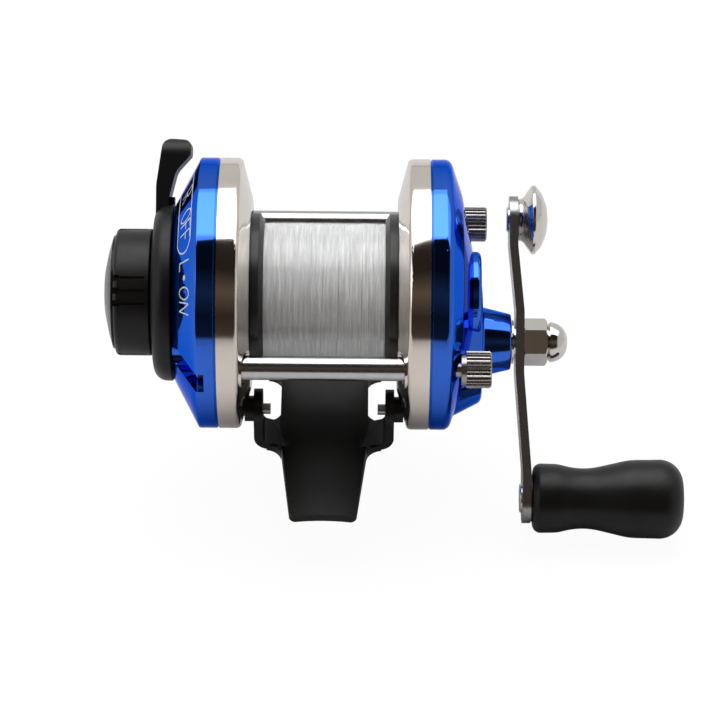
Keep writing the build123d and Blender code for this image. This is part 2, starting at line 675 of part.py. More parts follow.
# ------------------------------------------------- lever, cam and spool brake
RAMP_RADIUS = 6.2
RAMP_COUNT = 3
CAM_X = (-25.9, -24.9)
PRESSURE_X = (-23.6, -22.4)
GUIDE_RADIUS = 11.2
BRAKE_SECTION = section(angle=LEVER_ANGLE - 90)
LEVER_OUTLINE = [
    (-CAM_X[0], STEM_RADIUS + RUN),
    (-CAM_X[0], LEVER_HUB_RADIUS),
    (LEVER_RING_X[0], LEVER_HUB_RADIUS),
    (LEVER_RING_X[0], LEVER_RING_RADIUS, 0.3),
    (LEVER_RING_X[1] - 0.4, LEVER_RING_RADIUS, 2.6),
    (LEVER_RING_X[1], 12.8, 0.2),
    (LEVER_RING_X[1], STEM_RADIUS + RUN),
]
PADDLE_WIDTH = 8.6
PADDLE = [
    (-32.4, 11.0),
    (-32.4, 20.5, 9.0),
    (-31.1, LEVER_REACH + 0.6, 1.9),
    (-25.7, LEVER_REACH + 0.2, 1.5),
    (-25.8, 26.3, 0.8),
    (-28.6, 23.2, 4.0),
    (-30.0, 17.5, 2.0),
    (-30.0, 11.0),
]
with BuildPart() as paddle:
    extrude(outline(PADDLE, BRAKE_SECTION), PADDLE_WIDTH / 2, both=True)
    with BuildSketch(across(-40).rotated((LEVER_ANGLE - 90, 0, 0))) as face:
        with Locations((0, LEVER_REACH / 2)):
            RectangleRounded(PADDLE_WIDTH, LEVER_REACH + 1.2, 3.4)
    extrude(face.sketch, 20, mode=Mode.INTERSECT)

with BuildPart() as brake_lever:
    revolve(outline(mirrored(LEVER_OUTLINE, -1), section()), axis=SPOOL_AXIS)
    add(paddle.part)
    index_tab = [(-30.2, 14.5), (-28.95, 14.5), (-28.95, 18.3), (-30.2, 18.3)]
    extrude(outline(index_tab, BRAKE_SECTION), 1.6, both=True)
save(brake_lever.part, "brake_lever")

with BuildPart() as brake_cam:
    add(rod_between(*CAM_X, RAMP_RADIUS + 2.0, inner=STEM_RADIUS + RUN))
    with BuildSketch(across(CAM_X[1])):
        with PolarLocations(RAMP_RADIUS, RAMP_COUNT):
            RectangleRounded(1.8, 1.8, 0.3)
    extrude(amount=1.0)
save(brake_cam.part, "brake_cam")

with BuildPart() as pressure_plate:
    add(rod_between(*PRESSURE_X, 12.4, inner=1.9))
    with BuildSketch(across(PRESSURE_X[0])):
        # The lever turns the ramps this way, into the windows, as the brake comes off.
        for turn in range(RAMP_COUNT):
            start = 360 / RAMP_COUNT * turn - 62
            with BuildLine(mode=Mode.PRIVATE) as track:
                CenterArc((0, 0), RAMP_RADIUS, start, 42)
            SlotArc(track.edge(), 3.0)
    extrude(amount=PRESSURE_X[1] - PRESSURE_X[0], mode=Mode.SUBTRACT)
    with BuildSketch(across(PRESSURE_X[0])):
        with PolarLocations(GUIDE_RADIUS, RAMP_COUNT, start_angle=50):
            Circle(0.6 + RUN)
    extrude(amount=2, mode=Mode.SUBTRACT)
save(pressure_plate.part, "pressure_plate")

with BuildPart() as friction_ring:
    add(rod_between(PRESSURE_X[1], PRESSURE_X[1] + 0.8, 9.2, inner=5.0))
save(friction_ring.part, "friction_ring")

with BuildPart() as brake_disc:
    add(rod_between(-21.3, -20.1, 9.4))
    add(rod_between(-20.1, -19.5, 2.4))
    add(rod_between(-23, -19, SHAFT_RADIUS), mode=Mode.SUBTRACT)
save(brake_disc.part, "brake_disc")

with BuildPart() as guide_pins:
    start_x = -BEARING_PLATE_X - BEARING_PLATE_THICKNESS
    with BuildSketch(across(start_x)):
        with PolarLocations(GUIDE_RADIUS, RAMP_COUNT, start_angle=50):
            Circle(0.6)
    extrude(amount=-25.2 - start_x)
save(guide_pins.part, "guide_pins")

STEM_END_X = -26.6
with BuildPart() as brake_stem:
    add(rod_between(-38.4, STEM_END_X, STEM_RADIUS))
    chamfer(brake_stem.faces().sort_by(Axis.X)[-1].edges(), 0.3)
save(brake_stem.part, "brake_stem")

COIL_RADIUS = 2.35
with BuildPart() as brake_spring:
    coil_start = (STEM_END_X + 0.3, 0, AXIS_HEIGHT)
    coil_length = PRESSURE_X[0] - STEM_END_X - 0.6
    with BuildLine() as coil:
        Helix(0.85, coil_length, COIL_RADIUS, center=coil_start, direction=(1, 0, 0))
    with BuildSketch(Plane(coil.line @ 0, z_dir=coil.line % 0)):
        Circle(0.22)
    sweep()
save(brake_spring.part, "brake_spring")

GRIP_GROUPS = 4
GRIP_GROOVES = (-11.6, 0, 11.6)
GRIP_GROOVE_WIDTH = 0.55
GRIP_NOTCH_WIDTH = 1.2
with BuildPart() as brake_knob:
    add(rod_between(-BRAKE_KNOB_X[1], -BRAKE_KNOB_X[0], BRAKE_KNOB_RADIUS))
    fillet(brake_knob.faces().sort_by(Axis.X)[0].edges(), 0.9)
    fillet(brake_knob.faces().sort_by(Axis.X)[-1].edges(), 0.3)
    with BuildSketch(across(-BRAKE_KNOB_X[0] - 0.9)):
        for group in range(GRIP_GROUPS):
            for step in GRIP_GROOVES:
                with PolarLocations(BRAKE_KNOB_RADIUS, 1, 138 + 360 / GRIP_GROUPS * group + step):
                    Rectangle(0.7, GRIP_GROOVE_WIDTH)
    extrude(amount=-8, mode=Mode.SUBTRACT)
    with BuildSketch(across(-BRAKE_KNOB_X[1] + 1.1)):
        for group in range(GRIP_GROUPS):
            for step in GRIP_GROOVES:
                with PolarLocations(BRAKE_KNOB_RADIUS, 1, 138 + 360 / GRIP_GROUPS * group + step):
                    Rectangle(1.7, GRIP_NOTCH_WIDTH)
    extrude(amount=-3, mode=Mode.SUBTRACT)
    add(rod_between(-38.4, -30, STEM_RADIUS), mode=Mode.SUBTRACT)
save(brake_knob.part, "brake_knob")

CAP_OUTLINE = [
    (-BRAKE_KNOB_X[1], 0),
    (-BRAKE_KNOB_X[1], 10.9),
    (-BRAKE_KNOB_X[1] - 0.5, 10.9, 0.2),
    (-BRAKE_KNOB_X[1] - 1.2, 8.6, 9.0),
    (-BRAKE_KNOB_X[1] - 2.2, 4.0, 14.0),
    (-BRAKE_KNOB_X[1] - 2.25, 0),
]
with BuildPart() as brake_knob_cap:
    revolve(outline(CAP_OUTLINE, section()), axis=SPOOL_AXIS)
save(brake_knob_cap.part, "brake_knob_cap")

# ------------------------------------------------------------------------- foot
CROWN_RADIUS = 34.0
CHANNEL_HALF_WIDTH = 5.5
CHANNEL_SAG = 0.4
CHANNEL_START_Y = 4.0
LEG_WIDTH = 6.9
LEG_Z = (3.9, 5.7)
LEG_ROOT_X = 7.6


def foot_station(y, half_width, top):
    """A crowned cross-section of the foot."""
    shoulder = top - half_width**2 / (2 * CROWN_RADIUS)
    with BuildSketch(Plane(origin=(0, y, 0), x_dir=(1, 0, 0), z_dir=(0, -1, 0))) as station:
        with BuildLine():
            Polyline((-half_width, shoulder), (-half_width, 0), (half_width, 0), (half_width, shoulder))
            ThreePointArc((half_width, shoulder), (0, top), (-half_width, shoulder))
        make_face()
    return station.sketch


FOOT_STATIONS = [
    (FOOT_LENGTH / 2, FOOT_TIP_WIDTH / 2, FOOT_TIP_THICKNESS),
    (EAR_Y, FOOT_WIDTH / 2, 5.7),
    (EAR_Y / 2, FOOT_WIDTH / 2, FOOT_TOP),
]
with BuildPart() as reel_foot:
    for near, far in zip(FOOT_STATIONS, FOOT_STATIONS[1:]):
        for side in (-1, 1):
            ends = [foot_station(side * y, half, top) for y, half, top in (near, far)]
            loft([end.face() for end in ends], ruled=True)
    middle = FOOT_STATIONS[-1]
    extrude(foot_station(middle[0], *middle[1:]), 2 * middle[0])
    tips = reel_foot.edges().filter_by(Axis.Z)
    fillet(tips.group_by(Axis.Y)[0] + tips.group_by(Axis.Y)[-1], 1.4)
    for y in (-EAR_Y, EAR_Y):
        strap = [
            (-EAR_X[1], EAR_Z + EAR_RADIUS),
            (-EAR_X[1], LEG_Z[0], 2.9),
            (-LEG_ROOT_X, LEG_Z[0] - 0.6),
            (LEG_ROOT_X, LEG_Z[0] - 0.6),
            (EAR_X[1], LEG_Z[0], 2.9),
            (EAR_X[1], EAR_Z + EAR_RADIUS),
            (EAR_X[0], EAR_Z + EAR_RADIUS),
            (EAR_X[0], LEG_Z[1], 1.2),
            (LEG_ROOT_X, LEG_Z[1] - 1.3),
            (-LEG_ROOT_X, LEG_Z[1] - 1.3),
            (-EAR_X[0], LEG_Z[1], 1.2),
            (-EAR_X[0], EAR_Z + EAR_RADIUS),
        ]
        plane = Plane(origin=(0, y, 0), x_dir=(1, 0, 0), z_dir=(0, -1, 0))
        with BuildPart(mode=Mode.PRIVATE) as leg:
            extrude(outline(strap, plane), EAR_RADIUS, both=True)
            with BuildSketch(across(-15, y, EAR_Z)) as ear:
                Circle(EAR_RADIUS)
                with Locations((0, -EAR_RADIUS)):
                    Rectangle(LEG_WIDTH, 2 * EAR_RADIUS)
            extrude(ear.sketch, 30, mode=Mode.INTERSECT)
            for side in (-1, 1):
                add(rod_between(side * (EAR_X[1] - 0.5), side * 15.4, 2.5, y, EAR_Z))
                add(rod_between(side * 9, side * 16, 1.05, y, EAR_Z), mode=Mode.SUBTRACT)
        add(leg.part)
        for side in (-1, 1):
            # The foot flares out into each leg.
            with BuildSketch(Plane.XY.offset(LEG_Z[0] - 0.6)):
                with BuildLine():
                    start, through, end = (8.3, 6.4), (9.1, 4.5), (11.2, LEG_WIDTH / 2)
                    ThreePointArc(*[(side * x, y + reach) for x, reach in (start, through, end)])
                    Line((side * end[0], y + end[1]), (side * end[0], y - end[1]))
                    ThreePointArc(*[(side * x, y - reach) for x, reach in (end, through, start)])
                    Line((side * start[0], y - start[1]), (side * start[0], y + start[1]))
                make_face()
            extrude(amount=1.4)
    channel_radius = (CHANNEL_HALF_WIDTH**2 + CHANNEL_SAG**2) / (2 * CHANNEL_SAG)
    for start_y in (CHANNEL_START_Y, -CHANNEL_START_Y):
        # The channel stops short of the middle, so the foot bears flat there.
        with BuildSketch(Plane(origin=(0, start_y, 0), x_dir=(1, 0, 0), z_dir=(0, -1, 0))):
            with Locations((0, CHANNEL_SAG - channel_radius)):
                Circle(channel_radius)
        extrude(amount=-start_y / abs(start_y) * FOOT_LENGTH, mode=Mode.SUBTRACT)
save(reel_foot.part, "reel_foot")

with BuildPart() as foot_screws:
    for y in (-EAR_Y, EAR_Y):
        for side in (-1, 1):
            add(rod_between(side * 10.4, side * 16.8, 1.05, y, EAR_Z))
            add(rod_between(side * 16.8, side * 17.6, 1.3, y, EAR_Z))
save(foot_screws.part, "foot_screws")
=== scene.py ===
"""Looks for a small round baitcasting reel: finishes, wound line, printed marks and a plain studio."""

import math
import random

import bpy
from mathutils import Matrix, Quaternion, Vector


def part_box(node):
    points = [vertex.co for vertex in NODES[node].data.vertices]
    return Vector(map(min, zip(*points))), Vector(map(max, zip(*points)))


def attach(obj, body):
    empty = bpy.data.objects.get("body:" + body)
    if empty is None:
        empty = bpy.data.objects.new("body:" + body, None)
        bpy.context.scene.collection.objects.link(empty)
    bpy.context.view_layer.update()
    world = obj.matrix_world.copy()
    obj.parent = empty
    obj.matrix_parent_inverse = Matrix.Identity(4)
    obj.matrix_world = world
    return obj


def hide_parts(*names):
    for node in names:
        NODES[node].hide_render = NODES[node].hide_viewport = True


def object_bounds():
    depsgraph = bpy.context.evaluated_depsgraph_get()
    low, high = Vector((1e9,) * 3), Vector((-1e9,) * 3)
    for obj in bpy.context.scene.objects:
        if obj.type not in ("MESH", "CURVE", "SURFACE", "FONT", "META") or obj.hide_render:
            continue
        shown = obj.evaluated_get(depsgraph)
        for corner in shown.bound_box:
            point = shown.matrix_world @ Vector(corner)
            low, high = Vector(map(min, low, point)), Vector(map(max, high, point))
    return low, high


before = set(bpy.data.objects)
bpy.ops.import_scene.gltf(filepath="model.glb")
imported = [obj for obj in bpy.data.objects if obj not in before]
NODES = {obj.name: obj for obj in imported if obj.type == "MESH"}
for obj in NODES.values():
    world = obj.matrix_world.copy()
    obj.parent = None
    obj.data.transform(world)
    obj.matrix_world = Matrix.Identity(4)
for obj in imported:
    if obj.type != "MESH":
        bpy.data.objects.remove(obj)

bl_info = {
    "name": "Baitcasting Reel Looks",
    "version": (1, 0, 0),
    "blender": (4, 5, 0),
    "location": "View3D > Sidebar > Reel",
    "description": "Finishes, wound line, printed marks and studio for a small round reel",
    "category": "Object",
}

MM = 0.001
CAD_BOX = [list(corner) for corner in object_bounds()]

# ------------------------------------------------------------------ places taken from the frame
SHAFT_LOW, SHAFT_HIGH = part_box("spool_shaft")
AXIS_Z = (SHAFT_LOW.z + SHAFT_HIGH.z) / 2
LINE_LOW, LINE_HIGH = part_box("fishing_line")
LINE_RADIUS = (LINE_HIGH.y - LINE_LOW.y) / 2
COVER_LEFT_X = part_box("left_cover")[0].x

# ------------------------------------------------------------------------ the camera's view
CAMERA_ELEVATION = math.radians(42.0)
TO_CAMERA = Vector((0, -math.cos(CAMERA_ELEVATION), math.sin(CAMERA_ELEVATION)))
UP_VIEW = Vector((0, math.sin(CAMERA_ELEVATION), math.cos(CAMERA_ELEVATION)))
CAMERA_ROLL = math.radians(0.5)
VIEW_SHIFT = (6.9 * MM, -12.7 * MM)  # from the spool's middle to the aim, across and up the view


# --------------------------------------------------------------------------- settings
class ReelFinish(bpy.types.PropertyGroup):
    """Colours of the reel's finishes."""

    blue: bpy.props.FloatVectorProperty(
        name="Cover plating", description="Tint of the plated covers",
        default=(0.052, 0.175, 0.80), size=3, min=0, max=1, subtype="COLOR")
    nickel: bpy.props.FloatVectorProperty(
        name="Plate plating", description="Tint of the nickel plated side plates",
        default=(0.84, 0.765, 0.69), size=3, min=0, max=1, subtype="COLOR")
    steel: bpy.props.FloatVectorProperty(
        name="Steel", description="Tint of the turned steel pieces",
        default=(0.62, 0.62, 0.63), size=3, min=0, max=1, subtype="COLOR")
    black: bpy.props.FloatVectorProperty(
        name="Moulded black", description="Colour of the moulded pieces",
        default=(0.0070, 0.0064, 0.0060), size=3, min=0, max=1, subtype="COLOR")
    ink: bpy.props.FloatVectorProperty(
        name="Ink", description="Colour of the printed marks",
        default=(0.72, 0.76, 0.82), size=3, min=0, max=1, subtype="COLOR")


class ReelLine(bpy.types.PropertyGroup):
    """How the line is wound."""

    turns: bpy.props.IntProperty(
        name="Turns across", description="Turns of line side by side in the top layer",
        default=104, min=20, max=160)
    unevenness: bpy.props.FloatProperty(
        name="Unevenness", description="How far the wound surface rises and falls",
        default=0.00022, min=0, max=0.001, subtype="DISTANCE", unit="LENGTH")
    strays: bpy.props.IntProperty(
        name="Crossing turns", description="Turns that cross over the others",
        default=7, min=0, max=20)


class ReelMarks(bpy.types.PropertyGroup):
    """The marks printed on the left cover."""

    letter_height: bpy.props.FloatProperty(
        name="Letter height", description="Height of the letters along the cone",
        default=0.0040, min=0.001, max=0.006, subtype="DISTANCE", unit="LENGTH")
    letter_stretch: bpy.props.FloatProperty(
        name="Letter width", description="Width of a letter against its height",
        default=0.56, min=0.3, max=2)


class ReelStage(bpy.types.PropertyGroup):
    """Studio floor, light and camera."""

    floor_drop: bpy.props.FloatProperty(
        name="Floor drop", description="Floor below the lowest point of the crank knob",
        default=0.0002, min=0, max=0.05, subtype="DISTANCE", unit="LENGTH")
    camera_distance: bpy.props.FloatProperty(
        name="Camera distance", description="Camera from the point it looks at",
        default=0.65, min=0.2, max=2, subtype="DISTANCE", unit="LENGTH")
    frame_width: bpy.props.FloatProperty(
        name="Frame width", description="Width seen at the spool axis",
        default=0.1386, min=0.05, max=0.5, subtype="DISTANCE", unit="LENGTH")


# ------------------------------------------------------------------------ node helpers
def link(tree, source, target):
    tree.links.new(source, target)


def node(tree, kind, **values):
    """A new node of the given kind, with its properties set by name."""
    made = tree.nodes.new(kind)
    for name, value in values.items():
        setattr(made, name, value)
    return made


def put(target, **values):
    """Sets a node's inputs by name; an underscore in a name stands for a space."""
    for name, value in values.items():
        target.inputs[name.replace("_", " ")].default_value = value
    return target


def group(name, inputs, outputs):
    """An empty shader node group with the given sockets, and its two ends."""
    tree = bpy.data.node_groups.new(name, "ShaderNodeTree")
    for label, kind, value in inputs:
        socket = tree.interface.new_socket(label, in_out="INPUT", socket_type=kind)
        if value is not None:
            socket.default_value = value
    for label, kind in outputs:
        tree.interface.new_socket(label, in_out="OUTPUT", socket_type=kind)
    return tree, tree.nodes.new("NodeGroupInput"), tree.nodes.new("NodeGroupOutput")


def shared(name, build):
    """A node group by name, built the first time it is asked for."""
    return bpy.data.node_groups.get(name) or build(name)


def uneven_gloss(name):
    """Roughness that drifts over a surface, with finger marks and fine haze."""
    inputs = [("Roughness", "NodeSocketFloat", 0.1), ("Spread", "NodeSocketFloat", 0.05),
              ("Scale", "NodeSocketFloat", 90.0)]
    outputs = [("Roughness", "NodeSocketFloat"), ("Mask", "NodeSocketFloat")]
    tree, start, end = group(name, inputs, outputs)
    place = node(tree, "ShaderNodeTexCoord")
    cloud = put(node(tree, "ShaderNodeTexNoise"), Detail=5.0, Roughness=0.62)
    link(tree, place.outputs["Object"], cloud.inputs["Vector"])
    link(tree, start.outputs["Scale"], cloud.inputs["Scale"])
    shaped = put(node(tree, "ShaderNodeMapRange"), From_Min=0.35, From_Max=0.7)
    link(tree, cloud.outputs["Fac"], shaped.inputs["Value"])
    wide = node(tree, "ShaderNodeMath", operation="MULTIPLY_ADD")
    link(tree, shaped.outputs["Result"], wide.inputs[0])
    link(tree, start.outputs["Spread"], wide.inputs[1])
    link(tree, start.outputs["Roughness"], wide.inputs[2])
    link(tree, wide.outputs[0], end.inputs["Roughness"])
    link(tree, shaped.outputs["Result"], end.inputs["Mask"])
    return tree


def turned_marks(name):
    """Fine marks left by a lathe, side by side along X."""
    inputs = [("Rings per metre", "NodeSocketFloat", 9000.0)]
    tree, start, end = group(name, inputs, [("Height", "NodeSocketFloat")])
    place = node(tree, "ShaderNodeTexCoord")
    apart = node(tree, "ShaderNodeSeparateXYZ")
    link(tree, place.outputs["Object"], apart.inputs[0])
    along = node(tree, "ShaderNodeMath", operation="MULTIPLY")
    link(tree, apart.outputs["X"], along.inputs[0])
    link(tree, start.outputs["Rings per metre"], along.inputs[1])
    fine = node(tree, "ShaderNodeTexNoise", noise_dimensions="1D")
    put(fine, Scale=1.0, Detail=3.0, Roughness=0.7)
    link(tree, along.outputs[0], fine.inputs["W"])
    link(tree, fine.outputs["Fac"], end.inputs["Height"])
    return tree


WAVES_SHARE = 0.8


def moulded_grain(name):
    """The fine spark-eroded grain of a moulded surface, with larger soft waves."""
    inputs = [("Grain", "NodeSocketFloat", 6000.0), ("Waves", "NodeSocketFloat", 260.0)]
    outputs = [("Height", "NodeSocketFloat"), ("Mask", "NodeSocketFloat")]
    tree, start, end = group(name, inputs, outputs)
    place = node(tree, "ShaderNodeTexCoord")
    grain = put(node(tree, "ShaderNodeTexNoise"), Detail=2.0, Roughness=0.6)
    waves = put(node(tree, "ShaderNodeTexNoise"), Detail=3.0, Roughness=0.5)
    for texture, size in ((grain, "Grain"), (waves, "Waves")):
        link(tree, place.outputs["Object"], texture.inputs["Vector"])
        link(tree, start.outputs[size], texture.inputs["Scale"])
    both = node(tree, "ShaderNodeMath", operation="MULTIPLY_ADD")
    link(tree, waves.outputs["Fac"], both.inputs[0])
    both.inputs[1].default_value = WAVES_SHARE
    link(tree, grain.outputs["Fac"], both.inputs[2])
    link(tree, both.outputs[0], end.inputs["Height"])
    link(tree, waves.outputs["Fac"], end.inputs["Mask"])
    return tree


def tinted(name):
    """Two close tints of one colour, mixed by a mask."""
    inputs = [("Colour", "NodeSocketColor", None), ("Strength", "NodeSocketFloat", 0.2),
              ("Mask", "NodeSocketFloat", 0.5)]
    tree, start, end = group(name, inputs, [("Colour", "NodeSocketColor")])
    darker = node(tree, "ShaderNodeMath", operation="MULTIPLY")
    link(tree, start.outputs["Strength"], darker.inputs[0])
    link(tree, start.outputs["Mask"], darker.inputs[1])
    kept = node(tree, "ShaderNodeMath", operation="SUBTRACT")
    kept.inputs[0].default_value = 1.0
    link(tree, darker.outputs[0], kept.inputs[1])
    scaled = node(tree, "ShaderNodeVectorMath", operation="SCALE")
    link(tree, start.outputs["Colour"], scaled.inputs[0])
    link(tree, kept.outputs[0], scaled.inputs["Scale"])
    link(tree, scaled.outputs[0], end.inputs["Colour"])
    return tree


def use(tree, name, build, **values):
    """A placed node group, with its inputs set."""
    placed = tree.nodes.new("ShaderNodeGroup")
    placed.node_tree = shared(name, build)
    for label, value in values.items():
        placed.inputs[label.replace("_", " ")].default_value = value
    return placed


def material(name):
    """A material with only its Principled shader."""
    made = bpy.data.materials.new(name)
    made.use_nodes = True
    return made, made.node_tree, made.node_tree.nodes["Principled BSDF"]


def surface(name, colour, metallic, roughness, spread=0.04, scale=90.0, tint=0.1, bump=None,
            specular=0.5, edge=(1.0, 1.0, 1.0)):
    """A finish whose tint and gloss drift over the surface.

    spread is how far the roughness drifts, scale how finely, and tint how much darker the colour gets.
    bump is a group's name, its builder, its inputs and the depth in metres. edge tints the reflection
    at grazing angles.
    """
    made, tree, shader = material(name)
    shader.inputs["Metallic"].default_value = metallic
    shader.inputs["Specular IOR Level"].default_value = specular
    shader.inputs["Specular Tint"].default_value = (*edge, 1.0)
    gloss = use(tree, "Uneven Gloss", uneven_gloss, Roughness=roughness, Spread=spread, Scale=scale)
    link(tree, gloss.outputs["Roughness"], shader.inputs["Roughness"])
    shade = use(tree, "Close Tints", tinted, Colour=(*colour, 1.0), Strength=tint)
    link(tree, gloss.outputs["Mask"], shade.inputs["Mask"])
    link(tree, shade.outputs["Colour"], shader.inputs["Base Color"])
    if bump:
        label, build, values, depth = bump
        relief = use(tree, label, build, **values)
        raised = put(node(tree, "ShaderNodeBump"), Strength=1.0, Distance=depth)
        link(tree, relief.outputs["Height"], raised.inputs["Height"])
        link(tree, raised.outputs["Normal"], shader.inputs["Normal"])
    return made


# -------------------------------------------------------------------------- materials
def plated_blue(scene):
    """Bright blue plating, mirror smooth, whose edges reflect a deeper blue."""
    ripple = ("Moulded Grain", moulded_grain, {"Grain": 900.0, "Waves": 120.0}, 0.0000012)
    return surface("plated_blue", scene.reel_finish.blue, 1.0, 0.035, spread=0.03, scale=70.0,
                   tint=0.12, bump=ripple, edge=(0.35, 0.45, 1.0))


def plated_nickel(scene):
    """Bright nickel with a faint warm tint and a little haze."""
    ripple = ("Moulded Grain", moulded_grain, {"Grain": 1500.0, "Waves": 150.0}, 0.0000016)
    return surface("plated_nickel", scene.reel_finish.nickel, 1.0, 0.07, spread=0.06, scale=80.0,
                   tint=0.08, bump=ripple)


def bright_chrome(scene):
    """Polished chrome for the nut, the counterweight and the washer."""
    return surface("bright_chrome", (0.80, 0.76, 0.72), 1.0, 0.05, scale=200.0, tint=0.06)


def turned_steel(scene):
    """Steel with fine lathe marks."""
    rings = ("Turned Marks", turned_marks, {"Rings per metre": 14000.0}, 0.000004)
    return surface("turned_steel", scene.reel_finish.steel, 1.0, 0.16, spread=0.08, scale=300.0,
                   tint=0.12, bump=rings)


def knurled_steel(scene):
    """Darker steel, a little darker again in random patches."""
    rings = ("Turned Marks", turned_marks, {"Rings per metre": 9000.0}, 0.000006)
    return surface("knurled_steel", (0.47, 0.455, 0.44), 1.0, 0.24, spread=0.12, scale=600.0,
                   tint=0.25, bump=rings)


def arm_steel(scene):
    """Pressed steel with the soft waves of a stamping."""
    ripple = ("Moulded Grain", moulded_grain, {"Grain": 5000.0, "Waves": 700.0}, 0.000004)
    return surface("arm_steel", (0.42, 0.42, 0.43), 1.0, 0.24, spread=0.14, scale=260.0,
                   tint=0.3, bump=ripple)


def dull_steel(scene):
    """Plain steel for screws and inner pieces."""
    rings = ("Turned Marks", turned_marks, {"Rings per metre": 7000.0}, 0.000005)
    return surface("dull_steel", (0.42, 0.42, 0.43), 1.0, 0.28, spread=0.15, scale=500.0,
                   tint=0.25, bump=rings)


def machined_aluminium(scene):
    """Bare aluminium, turned."""
    rings = ("Turned Marks", turned_marks, {"Rings per metre": 8000.0}, 0.000005)
    return surface("machined_aluminium", (0.66, 0.66, 0.65), 1.0, 0.26, spread=0.1, scale=240.0,
                   tint=0.12, bump=rings)


def gear_brass(scene):
    """Brass, cut and slightly oily."""
    rings = ("Turned Marks", turned_marks, {"Rings per metre": 6000.0}, 0.000006)
    return surface("gear_brass", (0.66, 0.49, 0.22), 1.0, 0.22, spread=0.12, scale=320.0,
                   tint=0.25, bump=rings)


def satin_black(scene):
    """Black plastic as it comes from a lightly grained mould."""
    grain = ("Moulded Grain", moulded_grain, {"Grain": 7000.0, "Waves": 420.0}, 0.000012)
    return surface("satin_black", scene.reel_finish.black, 0.0, 0.34, spread=0.12, scale=160.0,
                   tint=0.35, bump=grain, specular=0.3)


def gloss_black(scene):
    """Black plastic with a polished face."""
    grain = ("Moulded Grain", moulded_grain, {"Grain": 5000.0, "Waves": 300.0}, 0.000005)
    return surface("gloss_black", (0.008, 0.0075, 0.007), 0.0, 0.16, spread=0.12, scale=140.0,
                   tint=0.3, bump=grain, specular=0.22)


def spool_black(scene):
    """The spool's dark coating over turned metal."""
    rings = ("Turned Marks", turned_marks, {"Rings per metre": 9000.0}, 0.000006)
    return surface("spool_black", (0.030, 0.030, 0.031), 0.35, 0.28, spread=0.12, scale=220.0,
                   tint=0.3, bump=rings)


def brake_fibre(scene):
    """Rough brown fibre of the friction ring."""
    grain = ("Moulded Grain", moulded_grain, {"Grain": 5000.0, "Waves": 900.0}, 0.00004)
    return surface("brake_fibre", (0.12, 0.07, 0.045), 0.0, 0.8, spread=0.15, scale=900.0,
                   tint=0.5, bump=grain)


def printed_ink(scene):
    """Pale ink with slightly uneven cover."""
    return surface("printed_ink", scene.reel_finish.ink, 0.0, 0.4, spread=0.2, scale=900.0, tint=0.15)


STREAKS_PER_METRE = 1400.0


def wound_nylon(scene):
    """Clear nylon in many layers: pale and glossy, with streaks that run round the spool."""
    made, tree, shader = material("wound_nylon")
    shader.inputs["Specular IOR Level"].default_value = 0.75
    shader.inputs["Coat Weight"].default_value = 0.35
    shader.inputs["Coat Roughness"].default_value = 0.12
    place = node(tree, "ShaderNodeTexCoord")
    apart = node(tree, "ShaderNodeSeparateXYZ")
    link(tree, place.outputs["Object"], apart.inputs[0])
    centred = node(tree, "ShaderNodeMath", operation="SUBTRACT")
    link(tree, apart.outputs["Z"], centred.inputs[0])
    centred.inputs[1].default_value = AXIS_Z
    angle = node(tree, "ShaderNodeMath", operation="ARCTAN2")
    link(tree, centred.outputs[0], angle.inputs[0])
    link(tree, apart.outputs["Y"], angle.inputs[1])
    turned = node(tree, "ShaderNodeCombineXYZ")
    across = node(tree, "ShaderNodeMath", operation="MULTIPLY")
    link(tree, apart.outputs["X"], across.inputs[0])
    across.inputs[1].default_value = STREAKS_PER_METRE
    link(tree, across.outputs[0], turned.inputs["X"])
    link(tree, angle.outputs[0], turned.inputs["Y"])
    streaks = put(node(tree, "ShaderNodeTexNoise"), Scale=1.4, Detail=5.0, Roughness=0.7)
    link(tree, turned.outputs[0], streaks.inputs["Vector"])
    colours = node(tree, "ShaderNodeValToRGB")
    shaded, lit = colours.color_ramp.elements
    shaded.position, shaded.color = 0.3, (0.52, 0.53, 0.535, 1)
    lit.position, lit.color = 0.62, (0.90, 0.91, 0.92, 1)
    link(tree, streaks.outputs["Fac"], colours.inputs["Fac"])
    link(tree, colours.outputs["Color"], shader.inputs["Base Color"])
    gloss = node(tree, "ShaderNodeMapRange")
    put(gloss, From_Min=0.3, From_Max=0.7, To_Min=0.34, To_Max=0.16)
    link(tree, streaks.outputs["Fac"], gloss.inputs["Value"])
    link(tree, gloss.outputs["Result"], shader.inputs["Roughness"])
    return made


PAPER_GLOW = 1.06
PAPER_GLOW_SHARE = 0.9  # the rest is lit paper, which still shows a trace of shadow


def studio_paper(scene):
    """Matt white paper that glows evenly to the camera alone; the reel sees it as plain grey paper."""
    made = surface("studio_paper", (0.68, 0.68, 0.68), 0.0, 0.9, spread=0.05, scale=20.0,
                   tint=0.01, specular=0.0)
    tree = made.node_tree
    seen = node(tree, "ShaderNodeLightPath")
    glow = put(node(tree, "ShaderNodeEmission"), Color=(1, 1, 1, 1), Strength=PAPER_GLOW)
    mixed = node(tree, "ShaderNodeMixShader")
    share = node(tree, "ShaderNodeMath", operation="MULTIPLY")
    share.inputs[1].default_value = PAPER_GLOW_SHARE
    link(tree, seen.outputs["Is Camera Ray"], share.inputs[0])
    link(tree, share.outputs[0], mixed.inputs[0])
    link(tree, tree.nodes["Principled BSDF"].outputs[0], mixed.inputs[1])
    link(tree, glow.outputs[0], mixed.inputs[2])
    link(tree, mixed.outputs[0], tree.nodes["Material Output"].inputs["Surface"])
    return made


# ----------------------------------------------------------------------- mesh helpers
WELD_DISTANCE = 0.002 * MM
SHARP_ANGLE = math.radians(27)


